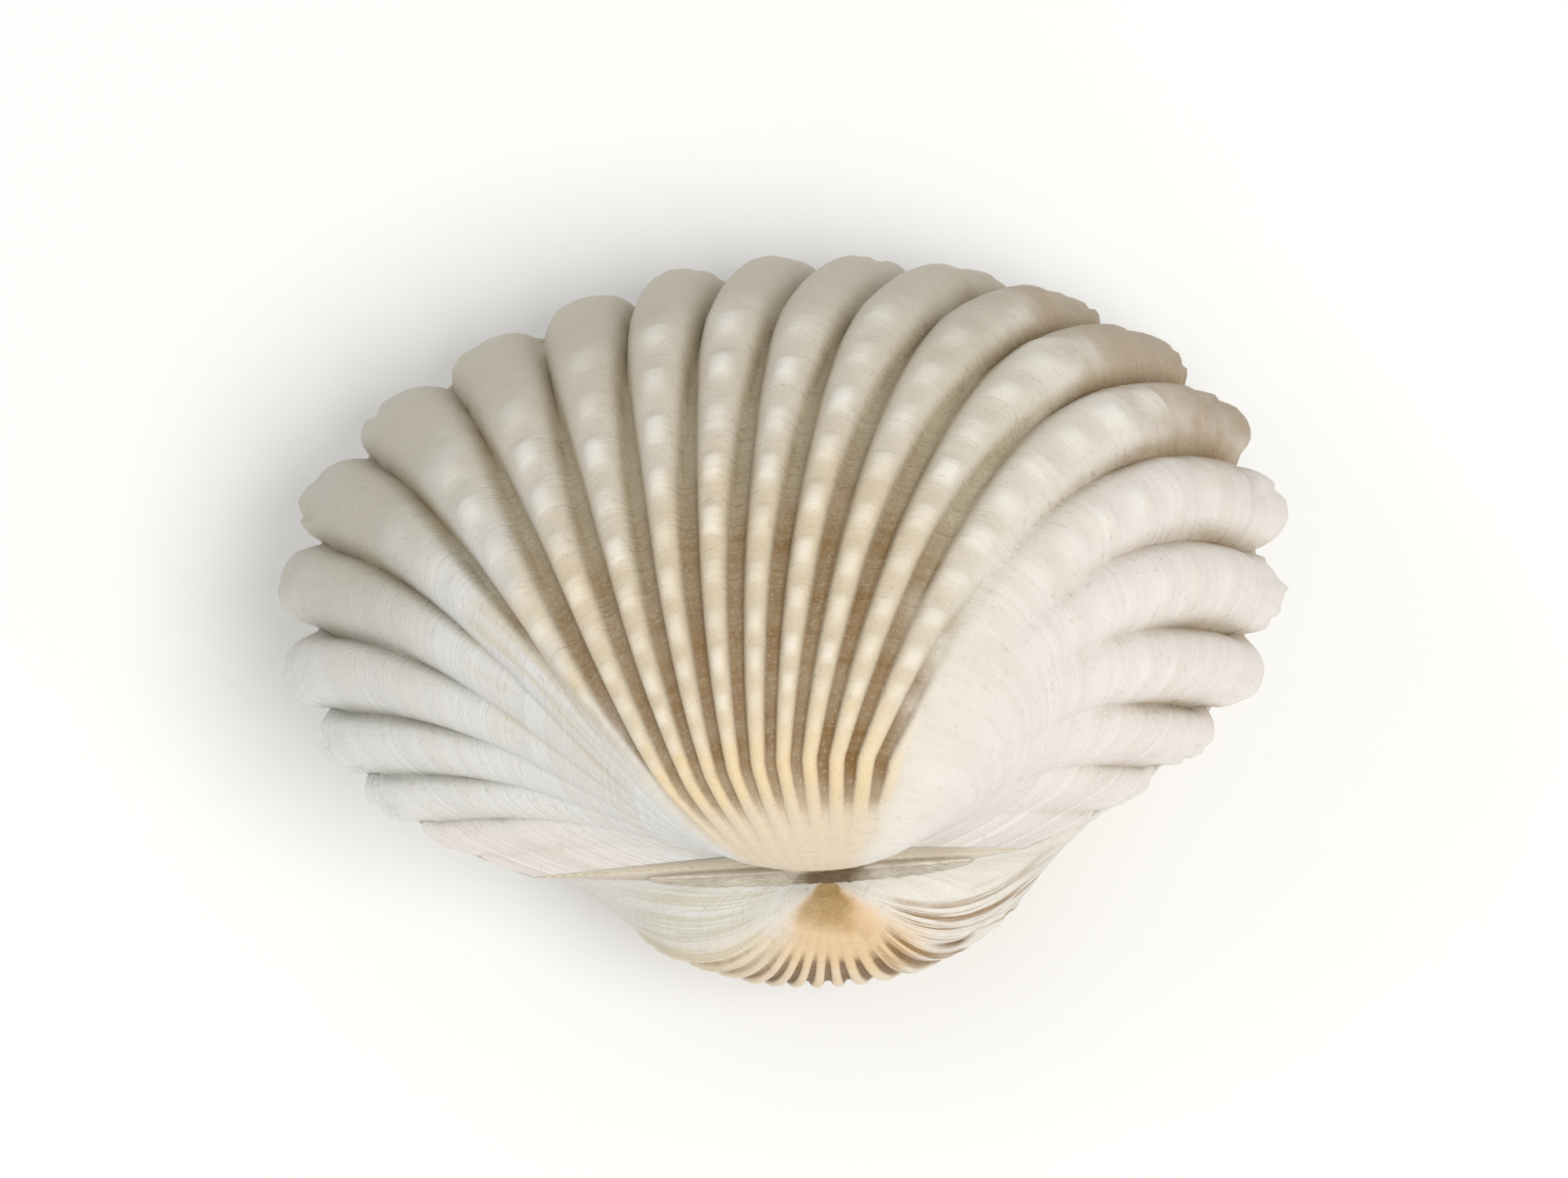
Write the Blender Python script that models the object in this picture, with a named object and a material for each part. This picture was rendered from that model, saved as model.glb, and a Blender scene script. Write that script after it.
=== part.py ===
"""Ark shell with both valves closed, lying on its right valve as it settles on a flat surface.

Each valve is a growth surface: the outline of the shell's mouth is scaled up from the beak while its
plane turns about the hinge line. Radial ribs stand out along the surface and carry low beads.
The pair is made in its own frame, X along the hinge to the front end, Y from the hinge to the belly
margin and Z out of the left valve, and is then tilted to its resting place. Metres.
"""

import math
from collections import namedtuple

import bmesh
import bpy
from mathutils import Vector

# Driving dimensions of the pair
SHELL_LENGTH = 0.0317
VALVE_HEIGHT = 0.0234
JOINT_GAP = 0.0003

# Outline of the mouth: two half ovals that meet at the widest line, cut off by the hinge line, with
# the lower corner at the back drawn out a little
WIDEST_LINE = 0.463 * VALVE_HEIGHT
HINGE_SIDE_HEIGHT = 0.522 * VALVE_HEIGHT
OVAL_POWER = 2.12
OUTLINE_LEAN = 0.055
BACK_CORNER = 0.030
BACK_CORNER_STEP = 0.725
BACK_CORNER_WIDTH = 0.04

# The right valve is a little smaller: its free margin lies inside the left one's
RIGHT_VALVE_SCALE = 0.95
HINGE_END_BLEND = 0.20

# Growth from the beak to the margin: stage 0 is the beak and stage 1 is the margin. The young shell
# is longer for its height than the grown one, which makes the beak end broad and full
BEAK = Vector((0.036 * VALVE_HEIGHT, -0.007 * VALVE_HEIGHT, 0.043 * VALVE_HEIGHT))
TURN_RATE = 1.50
TURN_START = 0.131
LENGTH_POWER = 0.835

# Ribs: closer together towards both ends of the hinge. On the young shell they lie further towards
# the back end than at the margin
RIB_COUNT = 23
RIB_SHIFT = -0.13
RIB_CROWDING = 0.21
RIB_DRIFT = 0.105
RIB_DRIFT_END = 0.82
RIB_DRIFT_FADE = 8
RIB_DRIFT_START = 0.25
PLACE_ROUNDS = 30
END_ROOM = 0.3
RIB_HEIGHT = 0.00100
RIB_CREST_HALF = 0.22
RIB_FADE = 0.16
MARGIN_WAVE = 0.00015
MARGIN_BAND = 0.08

# Beads: low lumps on the rib crests, each step of growth a little larger than the one before
BEAD_STEP = 1.11
BEAD_ROWS = 9
LAST_BEAD = 0.94
BEAD_HEIGHT = 0.00020
UMBO_STAGES = (0.02, 0.06, 0.12, 0.20, 0.29)

# Wall: the inside is the outside drawn towards the middle of the mouth
WALL_SCALE = 0.90
HINGE_PLATE_SCALE = 0.82
INNER_STAGES = (0.85, 0.60, 0.34)
HINGE_COLUMNS = 5

# Resting place: the belly margin hangs lower than the hinge, on a flat worn into the lowest ribs
REST_TILT = math.radians(23.0)
REST_ROLL = math.radians(1.0)
WORN_DEPTH = 0.00030

# Ligament: a dried strip in the groove between the two beaks
LIGAMENT_LENGTH = 0.0105
LIGAMENT_WIDTH = 0.0008
LIGAMENT_THICKNESS = 0.00032
LIGAMENT_SLOPE = 0.8
LIGAMENT_COLUMNS = 14
LIGAMENT_ROWS = 6

Column = namedtuple("Column", "x y out_x out_y crest wave inset")


def smooth_step(low, high, value):
    t = min(max((value - low) / (high - low), 0.0), 1.0)
    return t * t * (3.0 - 2.0 * t)


def clear_scene():
    for item in list(bpy.data.objects):
        bpy.data.objects.remove(item, do_unlink=True)


def hinge_half_length():
    across = 1.0 - (WIDEST_LINE / HINGE_SIDE_HEIGHT) ** OVAL_POWER
    return SHELL_LENGTH / 2 * across ** (1.0 / OVAL_POWER)


def margin_share(step):
    """Share of the way round the free margin for a share of the ribs, both from the front end."""
    first = math.sin(2 * math.pi * step) / (2 * math.pi)
    second = math.sin(4 * math.pi * step) / (4 * math.pi)
    return step - RIB_CROWDING * (first + second / 4)


def mouth_outline(step, scale):
    """Point and outward direction on the free margin, in the plane of the mouth.

    scale draws the margin towards the middle of the mouth, but leaves the hinge where it is.
    """
    start = -math.atan2(WIDEST_LINE, hinge_half_length())
    angle = start + (math.pi - 2 * start) * margin_share(step)
    half_length = SHELL_LENGTH / 2
    half_height = VALVE_HEIGHT - WIDEST_LINE if math.sin(angle) >= 0 else HINGE_SIDE_HEIGHT
    along = abs(math.cos(angle) / half_length) ** OVAL_POWER
    up = abs(math.sin(angle) / half_height) ** OVAL_POWER
    radius = (along + up) ** (-1.0 / OVAL_POWER)
    radius *= 1.0 + BACK_CORNER * math.exp(-(((step - BACK_CORNER_STEP) / BACK_CORNER_WIDTH) ** 2))
    x = radius * math.cos(angle)
    y = radius * math.sin(angle)
    slope = OVAL_POWER - 1.0
    out_x = math.copysign(abs(x / half_length) ** slope / half_length, x)
    out_y = math.copysign(abs(y / half_height) ** slope / half_height, y) - OUTLINE_LEAN * out_x
    length = math.hypot(out_x, out_y)
    drawn_in = 1.0 + (scale - 1.0) * smooth_step(0.0, HINGE_END_BLEND, min(step, 1.0 - step))
    x = (x + OUTLINE_LEAN * y) * drawn_in
    y = max(y * drawn_in + WIDEST_LINE, 0.0)
    return x, y, out_x / length, out_y / length


def rib_step(rib_place, stage):
    """Step at which a rib lies at a growth stage, rib_place ribs from the front end."""
    share = rib_place / RIB_COUNT
    drift = RIB_DRIFT * math.log(max(stage, RIB_DRIFT_START))
    step = share
    for _ in range(PLACE_ROUNDS):
        sideways = math.sin(math.pi * step / RIB_DRIFT_END) * (1.0 - step ** RIB_DRIFT_FADE)
        step = min(max(share - drift * sideways, 0.0), 1.0)
    return step


def margin_column(rib_place, stage, crest_offset, scale):
    """A point of the mouth's edge at a growth stage, rib_place ribs from the front end."""
    step = rib_step(rib_place, stage)
    x, y, out_x, out_y = mouth_outline(step, scale)
    phase = rib_place + crest_offset
    end_fade = smooth_step(0.0, RIB_FADE, min(step, 1.0 - step))
    from_crest = abs(phase % 1.0 - 0.5)
    crest = end_fade if from_crest < RIB_CREST_HALF + 0.01 else 0.0
    wave = -math.cos(2 * math.pi * phase) * y / VALVE_HEIGHT
    return Column(x, y, out_x, out_y, crest, wave, WALL_SCALE)


def valve_places(crest_offset):
    """Two places on each rib crest and one in each groove, counted in ribs from the front end."""
    places = {0.0, float(RIB_COUNT)}
    for rib in range(-1, RIB_COUNT + 1):
        middle = rib + 0.5 - crest_offset
        for place in (middle - RIB_CREST_HALF, middle + RIB_CREST_HALF, middle + 0.5):
            if END_ROOM < place < RIB_COUNT - END_ROOM:
                places.add(round(place, 6))
    return sorted(places)


def valve_columns(places, stage, crest_offset, scale):
    """The mouth's edge at a growth stage: the free margin, then the hinge line back to the start."""
    columns = [margin_column(place, stage, crest_offset, scale) for place in places]
    back, front = columns[-1].x, columns[0].x
    for index in range(1, HINGE_COLUMNS):
        x = back + (front - back) * index / HINGE_COLUMNS
        columns.append(Column(x, 0.0, 0.0, -1.0, 0.0, 0.0, HINGE_PLATE_SCALE))
    return columns


def outer_stages():
    """Growth stages from the beak to the margin, each with how far its beads stand out."""
    stages = [(stage, 0.0) for stage in UMBO_STAGES]
    for row in reversed(range(BEAD_ROWS)):
        middle = LAST_BEAD * BEAD_STEP ** -row
        stages.append((middle * BEAD_STEP ** -0.5, 0.0))
        stages.append((middle, BEAD_HEIGHT))
    stages.append((1.0, 0.0))
    return stages


def growth_point(column, stage, lift=0.0):
    """A point of the outside. lift is how far a bead stands on the rib there."""
    turn = TURN_RATE * math.log((1.0 + TURN_START) / (stage + TURN_START))
    from_beak = 1.0 - stage
    across = Vector((0.0, math.cos(turn), math.sin(turn)))
    outwards = Vector((0.0, -math.sin(turn), math.cos(turn)))
    length = stage ** LENGTH_POWER
    point = BEAK * from_beak + Vector((length * column.x, 0.0, 0.0)) + across * stage * column.y
    in_plane = Vector((column.out_x * stage / length, 0.0, 0.0)) + across * column.out_y
    in_plane.normalize()
    steepness = stage * TURN_RATE / (stage + TURN_START) * column.y
    lengthening = Vector((LENGTH_POWER * length / stage * column.x, 0.0, 0.0)) + across * column.y
    reach = lengthening.dot(in_plane)
    normal = (in_plane * steepness + outwards * reach).normalized()
    at_margin = smooth_step(1.0 - MARGIN_BAND, 1.0, stage)
    direction = normal.lerp(in_plane, at_margin)
    bead = lift * min(1.0, 2.0 * column.y / VALVE_HEIGHT)
    point += direction * column.crest * stage * (RIB_HEIGHT + bead)
    point.z -= MARGIN_WAVE * column.wave * at_margin
    return point


def inner_point(column, stage):
    """A point of the inside: the smooth outside drawn towards the middle of the mouth."""
    middle = Vector((0.0, WIDEST_LINE, 0.0))
    smooth = growth_point(column._replace(crest=0.0), stage)
    return middle + (smooth - middle) * column.inset


def worn_flat(points, down):
    """Moves what lies lower than the worn flat up to it."""
    lowest = max(point.dot(down) for point in points) - WORN_DEPTH
    for point in points:
        depth = point.dot(down) - lowest
        if depth > 0.0:
            point -= down * depth


def resting_down():
    """The direction of the ground in the pair's own frame."""
    sideways = -math.sin(REST_ROLL)
    rest = math.cos(REST_ROLL)
    return Vector((sideways, rest * math.sin(REST_TILT), -rest * math.cos(REST_TILT)))


def build_valve(name, side, crest_offset, scale, material):
    """One valve as a closed solid. side is 1 for the left valve and -1 for the right one."""
    places = valve_places(crest_offset)
    rings = []
    for stage, lift in outer_stages():
        columns = valve_columns(places, stage, crest_offset, scale)
        rings.append([growth_point(column, stage, lift) for column in columns])
    for stage in (1.0,) + INNER_STAGES:
        columns = valve_columns(places, stage, crest_offset, scale)
        rings.append([inner_point(column, stage) for column in columns])
    middle_of_mouth = Column(0.0, WIDEST_LINE, 0.0, 1.0, 0.0, 0.0, WALL_SCALE)
    poles = [BEAK.copy(), inner_point(middle_of_mouth, INNER_STAGES[-1])]
    for point in poles + [p for ring in rings for p in ring]:
        point.z = side * (point.z + JOINT_GAP / 2)
    if side < 0:
        worn_flat([p for ring in rings for p in ring], resting_down())

    shape = bmesh.new()
    loops = [[shape.verts.new(point) for point in ring] for ring in rings]
    beak, hollow = (shape.verts.new(point) for point in poles)
    count = len(rings[0])
    for index in range(count):
        following = (index + 1) % count
        shape.faces.new((beak, loops[0][index], loops[0][following]))
        shape.faces.new((hollow, loops[-1][following], loops[-1][index]))
        for low, high in zip(loops, loops[1:]):
            shape.faces.new((low[index], high[index], high[following], low[following]))
    bmesh.ops.recalc_face_normals(shape, faces=shape.faces)
    bmesh.ops.triangulate(shape, faces=shape.faces)
    return finish_object(name, shape, material)


def build_ligament(material):
    """A strip bent into the groove between the valves, pointed at both ends."""
    shape = bmesh.new()
    bmesh.ops.create_grid(shape, x_segments=LIGAMENT_COLUMNS, y_segments=LIGAMENT_ROWS, size=1.0)
    for vert in shape.verts:
        along, across = vert.co.x, vert.co.y
        width = LIGAMENT_WIDTH * math.sqrt(max(1.0 - abs(along) ** 2.5, 0.12))
        z = across * width / 2
        y = -LIGAMENT_SLOPE * abs(z) - JOINT_GAP - LIGAMENT_THICKNESS / 2
        vert.co = Vector((BEAK.x * 0.5 + along * LIGAMENT_LENGTH / 2, y, z))
    ligament = finish_object("ligament", shape, material)
    solid = ligament.modifiers.new("strip thickness", "SOLIDIFY")
    solid.thickness = LIGAMENT_THICKNESS
    solid.offset = 0.0
    ligament.modifiers.new("flat facets", "TRIANGULATE")
    return ligament


def finish_object(name, shape, material):
    mesh = bpy.data.meshes.new(name)
    shape.to_mesh(mesh)
    shape.free()
    mesh.materials.append(material)
    mesh.shade_smooth()
    mesh.set_sharp_from_angle(angle=math.radians(50.0))
    made = bpy.data.objects.new(name, mesh)
    bpy.context.scene.collection.objects.link(made)
    return made


def make_material(name, colour, roughness):
    material = bpy.data.materials.new(name)
    material.use_nodes = True
    surface = material.node_tree.nodes["Principled BSDF"]
    surface.inputs["Base Color"].default_value = (*colour, 1.0)
    surface.inputs["Roughness"].default_value = roughness
    surface.inputs["Metallic"].default_value = 0.0
    return material


def lay_to_rest(pieces):
    """Tilts the pair to its resting place, with the origin under the middle of its box."""
    resting_place = bpy.data.objects.new("resting_place", None)
    bpy.context.scene.collection.objects.link(resting_place)
    resting_place.rotation_euler = (-REST_TILT, -REST_ROLL, 0.0)
    for piece in pieces:
        piece.parent = resting_place
    bpy.context.view_layer.update()
    corners = [piece.matrix_world @ vert.co for piece in pieces for vert in piece.data.vertices]
    low = [min(corner[axis] for corner in corners) for axis in range(3)]
    high = [max(corner[axis] for corner in corners) for axis in range(3)]
    resting_place.location = (-(low[0] + high[0]) / 2, -(low[1] + high[1]) / 2, -low[2])
    bpy.context.view_layer.update()


def main():
    clear_scene()
    left_finish = make_material("chalky_white_shell", (0.74, 0.68, 0.60), 0.55)
    right_finish = make_material("cream_orange_shell", (0.76, 0.62, 0.48), 0.55)
    ligament_finish = make_material("dried_ligament", (0.20, 0.14, 0.08), 0.70)
    left = build_valve("left_valve", 1, RIB_SHIFT, 1.0, left_finish)
    right = build_valve("right_valve", -1, RIB_SHIFT + 0.5, RIGHT_VALVE_SCALE, right_finish)
    ligament = build_ligament(ligament_finish)
    lay_to_rest([left, right, ligament])


main()
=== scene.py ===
"""Looks of the closed ark shell: its two ribbed valves and the dried ligament between their beaks.

Each valve is a growth surface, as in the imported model: the outline of the shell's mouth is scaled up
from the beak while its plane turns about the hinge line. Here it has rounded ribs, beads, growth ledges,
chips and wear. A step is a share of the way round the free margin, 0 at the front end and 1 at the back
end. A stage is a share of the growth, 0 at the beak and 1 at the margin. A pair of steps or stages says
where a change begins and ends. Metres. X runs along the hinge to the front end, Y to the belly margin and
Z up out of the left valve.
"""

import math
from collections import namedtuple

import bmesh
import bpy
from mathutils import Euler, Matrix, Vector


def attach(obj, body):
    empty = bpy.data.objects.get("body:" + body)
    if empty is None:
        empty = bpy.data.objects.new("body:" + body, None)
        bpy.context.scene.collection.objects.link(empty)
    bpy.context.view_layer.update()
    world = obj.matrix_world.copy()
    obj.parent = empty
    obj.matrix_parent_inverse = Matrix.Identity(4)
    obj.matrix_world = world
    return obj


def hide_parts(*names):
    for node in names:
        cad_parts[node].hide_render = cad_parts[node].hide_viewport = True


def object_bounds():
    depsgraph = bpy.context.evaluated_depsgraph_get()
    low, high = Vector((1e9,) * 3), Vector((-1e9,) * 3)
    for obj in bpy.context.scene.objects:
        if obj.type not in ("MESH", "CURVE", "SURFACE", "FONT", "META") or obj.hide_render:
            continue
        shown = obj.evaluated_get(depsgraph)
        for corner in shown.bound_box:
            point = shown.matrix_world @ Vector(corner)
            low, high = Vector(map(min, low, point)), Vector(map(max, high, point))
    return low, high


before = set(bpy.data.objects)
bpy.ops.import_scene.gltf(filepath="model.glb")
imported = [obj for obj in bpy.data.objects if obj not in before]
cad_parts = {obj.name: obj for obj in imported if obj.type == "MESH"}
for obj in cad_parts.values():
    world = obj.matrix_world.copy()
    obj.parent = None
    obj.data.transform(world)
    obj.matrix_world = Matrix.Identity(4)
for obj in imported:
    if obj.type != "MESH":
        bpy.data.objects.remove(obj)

CAD_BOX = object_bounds()

# Driving dimensions of the pair
SHELL_LENGTH = 0.0317
VALVE_HEIGHT = 0.0234
SEAM_GAP = 0.00008

# Outline of the mouth, as shares of the valve's height
WIDEST_LINE = 0.463
HINGE_SIDE_HEIGHT = 0.522
OVAL_POWER = 2.12
OUTLINE_LEAN = 0.055
BACK_CORNER = 0.030
BACK_CORNER_STEP = 0.725
BACK_CORNER_WIDTH = 0.04
RIGHT_VALVE_SCALE = 0.95
HINGE_END_BLEND = 0.20

# Growth from the beak to the margin. The beak and the end of its hollow are in shares of the height
BEAK = (0.036, -0.007, 0.043)
BEAK_HOLLOW = (0.030, 0.013, 0.055)
TURN_RATE = 1.50
TURN_START = 0.131
LENGTH_POWER = 0.835

# The full middle of a valve, in steps: where it comes in from the front flank and goes out to the back
MIDDLE_FRONT = 0.33
MIDDLE_FRONT_WIDTH = 0.07
MIDDLE_BACK = (0.69, 0.74)

# Ribs. A rib's profile runs from its crest to the middle of the groove, in shares of the rib pitch.
# On the young shell the ribs lie further towards the back end than at the margin, and are narrower
RIB_COUNT = 23
RIB_SHIFT = -0.13
RIB_CROWDING = 0.21
RIB_DRIFT = 0.105
RIB_DRIFT_END = 0.82
RIB_DRIFT_FADE = 8
RIB_DRIFT_START = 0.25
PLACE_ROUNDS = 10
RIB_HEIGHT = 0.00100
GROOVE_DEPTH = 0.00034
RIB_FADE = 0.16
RIB_ROUNDNESS = 0.64
RIB_WANDER = 0.06
RIB_UNEVENNESS = 0.10
MIDDLE_RIB_HALF = 0.34
FLANK_RIB_HALF = 0.45
RIBS_WIDEN = (0.48, 0.84)
LOW_FRONT_RIBS = (0.10, 0.22)
LOW_FRONT_SHARE = 0.15
LOW_BACK_RIBS = (0.76, 0.88)
LOW_BACK_SHARE = 0.30
MARGIN_WAVE = 0.00015
MARGIN_BAND = 0.08
NEAR_MARGIN = (0.80, 0.96)
MARGIN_GROOVE_SHARE = 0.7

# Where the young ribs are worn away: the last worn stage of the flanks, how much further it lies at both
# ends, and over how many stages the ribs come in. Shallow traces of the worn ribs stay
WORN_FLANK = 0.46
WORN_FRONT_END = 0.14
FRONT_END = (0.04, 0.26)
WORN_BACK_END = 0.08
BACK_END = (0.68, 0.80)
FLANK_RIBS_COME_IN = 0.22
MIDDLE_RIBS_COME_IN = 0.05
WORN_RIB_SHARE = 0.10

# Beads on the rib crests, each step of growth a little larger than the one before. They are uneven, and
# long on the young shell, round on the grown one, and low on the flanks
BEAD_STEP = 1.11
LAST_BEAD = 0.94
BEAD_HEIGHT = 0.00022
BEAD_DIP = 0.00012
BEAD_SHIFT = 0.60
LOWEST_BEAD = 0.50
BEAD_EDGE = (0.20, 0.80)
BEADS_BEGIN = (0.22, 0.34)
YOUNG_BEAD_EDGE = (0.24, 0.80)
BEADS_GET_ROUND = (0.44, 0.70)
BEAD_NARROWING = 0.20
BEADS_END = (0.90, 0.80)
BEADS_END_CHANGE = (0.30, 0.44)
BEADS_END_FADE = 0.08
FRONT_BEADS = (0.10, 0.34)
FRONT_BEAD_SHARE = 0.35
BACK_BEADS = (0.66, 0.78)
BACK_BEAD_LOSS = 0.85

# Growth pauses: the stage, the depth of the ledge, and the first and last step where it shows
GROWTH_PAUSES = ((0.93, 0.00016, 0.16, 0.46), (0.80, 0.00006, 0.05, 0.95), (0.50, 0.00012, 0.68, 0.86))
LEDGE_END = 0.06
LEDGE_DROP = 0.004
LEDGE_RUN = 0.10

# Wear all over and chips on the lobes of the margin
WEAR_SCALE = 260.0
CHIPS_ROUND_MARGIN = 130.0
CHIPS_ALONG_GROWTH = 8.0
CHIP_EDGE = (0.48, 0.72)
CHIPPED_STAGES = (0.90, 1.0)

# Seeds of what differs from rib to rib. BEADS_PER_RIB is more than any rib has, so that each bead has a
# number of its own
RIB_SEED = 0.4
BEAD_SHIFT_SEED = 3.7
BEAD_HEIGHT_SEED = 5.1
CHIP_SEED = 2.5
BEADS_PER_RIB = 31.0

# Wall of a valve
WALL_SCALE = 0.90
HINGE_PLATE_SCALE = 0.82
HINGE_PLATE_SPAN = (0.0, 0.12, 0.88, 1.0)
INNER_RIB_SHARE = 0.22
INNER_RIBS = (0.86, 0.98)

# Mesh of a valve: columns run round it and rows from the beak to the margin, and back on the inside
COLUMNS_PER_RIB = 16
HINGE_COLUMNS = 44
OUTER_ROWS = 140
RIM_ROWS = 5
INNER_ROWS = 36
FIRST_STAGE = 0.02
ROW_SPREAD = 0.40
INNER_REACH = 0.92
VALVE_MERGE = 1e-6
LIGAMENT_MERGE = 2e-6
SHARP_EDGE = math.radians(62.0)

# Resting place
REST_TILT = math.radians(23.0)
REST_ROLL = math.radians(1.0)
HINGE_MIDDLE = Vector((-0.00004, -0.00949, 0.01305))

# Dried ligament in the groove between the beaks: a flat strip with ragged edges, wrinkles and creases
LIGAMENT_STATIONS = 150
LIGAMENT_ROUND = 40
LIGAMENT_SLOPE = 0.8
LIGAMENT_TAPER = 2.5
LIGAMENT_FLATNESS = 0.7
LIGAMENT_NARROWEST = 0.80
LIGAMENT_RAGGEDNESS = 0.36
LIGAMENT_EDGE = 0.2
LIGAMENT_CREASES = 0.35

# Depth of the finest relief, which the finishes draw
GRAIN_DEPTH = 0.00006

# Named inputs of the two geometry trees
VALVE_SIZES = {
    "Shell Length": SHELL_LENGTH,
    "Valve Height": VALVE_HEIGHT,
    "Rib Height": RIB_HEIGHT,
    "Groove Depth": GROOVE_DEPTH,
    "Bead Height": BEAD_HEIGHT,
    "Bead Dip": BEAD_DIP,
    "Wear Depth": 0.00012,
    "Chip Depth": 0.00030,
    "Margin Scale": 1.0,
    "Margin Ribs": 1.0,
    "Worn Beak": 0.18,
    "Worn Front": MIDDLE_FRONT,
    "Rib Offset": RIB_SHIFT,
    "Side": 1.0,
    "Seam Gap": SEAM_GAP,
}
LIGAMENT_SIZES = {
    "Length": 0.0104,
    "Width": 0.00078,
    "Thickness": 0.00030,
    "Depth": 0.00028,
    "Shift": 0.00042,
}

# What the mesh of a valve keeps for its colours
VALVE_MARKS = ("step", "stage", "inward", "on_hinge", "crest", "groove", "bead")

# A tint on the shell, most of them stains and some painted shade: its colour and strength, the steps and
# the stages where it comes in and goes out, and whether it lies in the grooves, on the crests, in streaks
# or all over. WHOLE covers every stage
StainAndShade = namedtuple("StainAndShade", "colour share steps stages place")
WHOLE = (-0.4, -0.3, 1.3, 1.4)


class Field:
    """A number that varies over a mesh or a surface. Arithmetic on it adds nodes to its tree."""

    def __init__(self, tree, socket):
        self.tree = tree
        self.socket = socket

    def node(self, operation, *others):
        made = self.tree.nodes.new("ShaderNodeMath")
        made.operation = operation
        for place, value in zip(made.inputs, (self,) + others):
            feed(self.tree, value, place)
        return Field(self.tree, made.outputs[0])

    def __add__(self, other):
        return self.node("ADD", other)

    def __sub__(self, other):
        return self.node("SUBTRACT", other)

    def __mul__(self, other):
        return self.node("MULTIPLY", other)

    def __truediv__(self, other):
        return self.node("DIVIDE", other)

    def __pow__(self, power):
        return self.node("POWER", power)

    def __neg__(self):
        return self.node("MULTIPLY", -1.0)

    def __rsub__(self, other):
        return -self + other

    def __rtruediv__(self, other):
        return self ** -1.0 * other

    def __abs__(self):
        return self.node("ABSOLUTE")

    __radd__ = __add__
    __rmul__ = __mul__

    def above(self, level):
        return self.node("GREATER_THAN", level)

    def below(self, level):
        return self.node("LESS_THAN", level)


class VectorField(Field):
    """A vector that varies over a mesh or a surface."""

    def node(self, operation, *others, output="Vector"):
        made = self.tree.nodes.new("ShaderNodeVectorMath")
        made.operation = operation
        for place, value in zip(made.inputs, (self,) + others):
            feed(self.tree, value, place)
        kind = VectorField if output == "Vector" else Field
        return kind(self.tree, made.outputs[output])

    def __mul__(self, factor):
        made = self.tree.nodes.new("ShaderNodeVectorMath")
        made.operation = "SCALE"
        feed(self.tree, self, made.inputs[0])
        feed(self.tree, factor, made.inputs["Scale"])
        return VectorField(self.tree, made.outputs["Vector"])

    def dot(self, other):
        return self.node("DOT_PRODUCT", other, output="Value")

    def unit(self):
        return self.node("NORMALIZE")

    def parts(self):
        made = self.tree.nodes.new("ShaderNodeSeparateXYZ")
        feed(self.tree, self, made.inputs[0])
        return [Field(self.tree, output) for output in made.outputs]


def feed(tree, value, socket):
    """Links a field to a socket, or sets the socket to a plain value."""
    if isinstance(value, Field):
        tree.links.new(value.socket, socket)
    else:
        socket.default_value = value


def vector_of(tree, x, y, z):
    made = tree.nodes.new("ShaderNodeCombineXYZ")
    for value, socket in zip((x, y, z), made.inputs):
        feed(tree, value, socket)
    return VectorField(tree, made.outputs[0])


def smooth_step(low, high, value):
    made = value.tree.nodes.new("ShaderNodeMapRange")
    made.interpolation_type = "SMOOTHSTEP"
    feed(value.tree, value, made.inputs["Value"])
    feed(value.tree, low, made.inputs["From Min"])
    feed(value.tree, high, made.inputs["From Max"])
    return Field(value.tree, made.outputs["Result"])


def blend(first, second, share):
    return first + (second - first) * share


def hump(low, rise, fall, high, value):
    """1 between rise and fall, and 0 outside low and high."""
    return smooth_step(low, rise, value) - smooth_step(fall, high, value)


def limit(value, low, high):
    return value.node("MAXIMUM", low).node("MINIMUM", high)


def noise_field(tree, place, scale, detail=2.0, roughness=0.5):
    """Smooth noise from 0 to 1 at a place, which is a vector field."""
    made = tree.nodes.new("ShaderNodeTexNoise")
    feed(tree, place, made.inputs["Vector"])
    made.inputs["Scale"].default_value = scale
    made.inputs["Detail"].default_value = detail
    made.inputs["Roughness"].default_value = roughness
    return Field(tree, made.outputs[0])


def rib_chance(number, seed):
    """A fixed random share for each rib number."""
    tree = number.tree
    made = tree.nodes.new("ShaderNodeTexWhiteNoise")
    made.noise_dimensions = "1D"
    feed(tree, number + seed, made.inputs["W"])
    return Field(tree, made.outputs["Value"])


# Rib and bead patterns, which the mesh and the colours share


def middle_share(step, front=MIDDLE_FRONT):
    """1 on the full middle of the valve, where the ribs start early, and 0 on both flanks."""
    return hump(front, front + MIDDLE_FRONT_WIDTH, *MIDDLE_BACK, step)


def rib_half_width(step, stage):
    young = blend(FLANK_RIB_HALF, MIDDLE_RIB_HALF, middle_share(step))
    return blend(young, 0.5, smooth_step(*RIBS_WIDEN, stage))


def from_crest(rib_place):
    """Distance from the crest of the nearest rib, 0 on the crest and 0.5 in the groove."""
    return abs(rib_place.node("FRACT") - 0.5)


def rib_profile(rib_place, step, stage):
    across = (from_crest(rib_place) / rib_half_width(step, stage)).node("MINIMUM", 1.0)
    return (1.0 - across * across).node("MAXIMUM", 0.0) ** RIB_ROUNDNESS


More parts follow.
